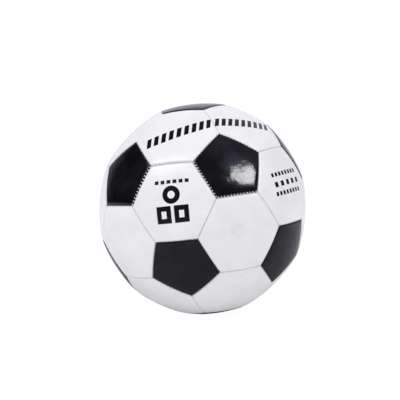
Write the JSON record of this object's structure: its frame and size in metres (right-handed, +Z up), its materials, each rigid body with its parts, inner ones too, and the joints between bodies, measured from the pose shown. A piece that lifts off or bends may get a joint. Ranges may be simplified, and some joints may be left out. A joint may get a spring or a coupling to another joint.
{
  "type": "soccer ball",
  "caption": "Hand-stitched soccer ball of black five-sided and white six-sided panels over an inflated bladder with a rubber valve.",
  "frame": {"origin": "centre of the ball, which is the centre of its bounding box", "axes": "+Z straight up through the highest point, along the ball's slightly longer height; -Y is the side that is seen in front, +X to its right. The panel pattern is turned 2.5 degrees about its top black panel and leans 6.7 degrees towards -X."},
  "size_m": [0.2154, 0.2182, 0.2202],
  "materials": {
    "white_cover": "glossy white laminated PVC cover",
    "black_cover": "glossy black laminated PVC cover",
    "thread": "waxed polyester stitching thread",
    "bladder_rubber": "smooth butyl rubber",
    "valve_rubber": "moulded rubber, satin",
    "patch_cloth": "woven cotton lining cloth"
  },
  "bodies": {
    "root": {"black_panel_01": "black_cover", "black_panel_02": "black_cover", "black_panel_03": "black_cover", "black_panel_04": "black_cover", "black_panel_05": "black_cover", "black_panel_06": "black_cover", "black_panel_07": "black_cover", "black_panel_08": "black_cover", "black_panel_09": "black_cover", "black_panel_10": "black_cover", "black_panel_11": "black_cover", "black_panel_12": "black_cover", "bladder": "bladder_rubber", "stitching_thread": "thread", "valve_body": "valve_rubber", "valve_core": "valve_rubber", "valve_patch": "patch_cloth", "white_panel_01": "white_cover", "white_panel_02": "white_cover", "white_panel_03": "white_cover", "white_panel_04": "white_cover", "white_panel_05": "white_cover", "white_panel_06": "white_cover", "white_panel_07": "white_cover", "white_panel_08": "white_cover", "white_panel_09": "white_cover", "white_panel_10": "white_cover", "white_panel_11": "white_cover", "white_panel_12": "white_cover", "white_panel_13": "white_cover", "white_panel_14": "white_cover", "white_panel_15": "white_cover", "white_panel_16": "white_cover", "white_panel_17": "white_cover", "white_panel_18": "white_cover", "white_panel_19": "white_cover", "white_panel_valve": "white_cover"}
  },
  "joints": []
}
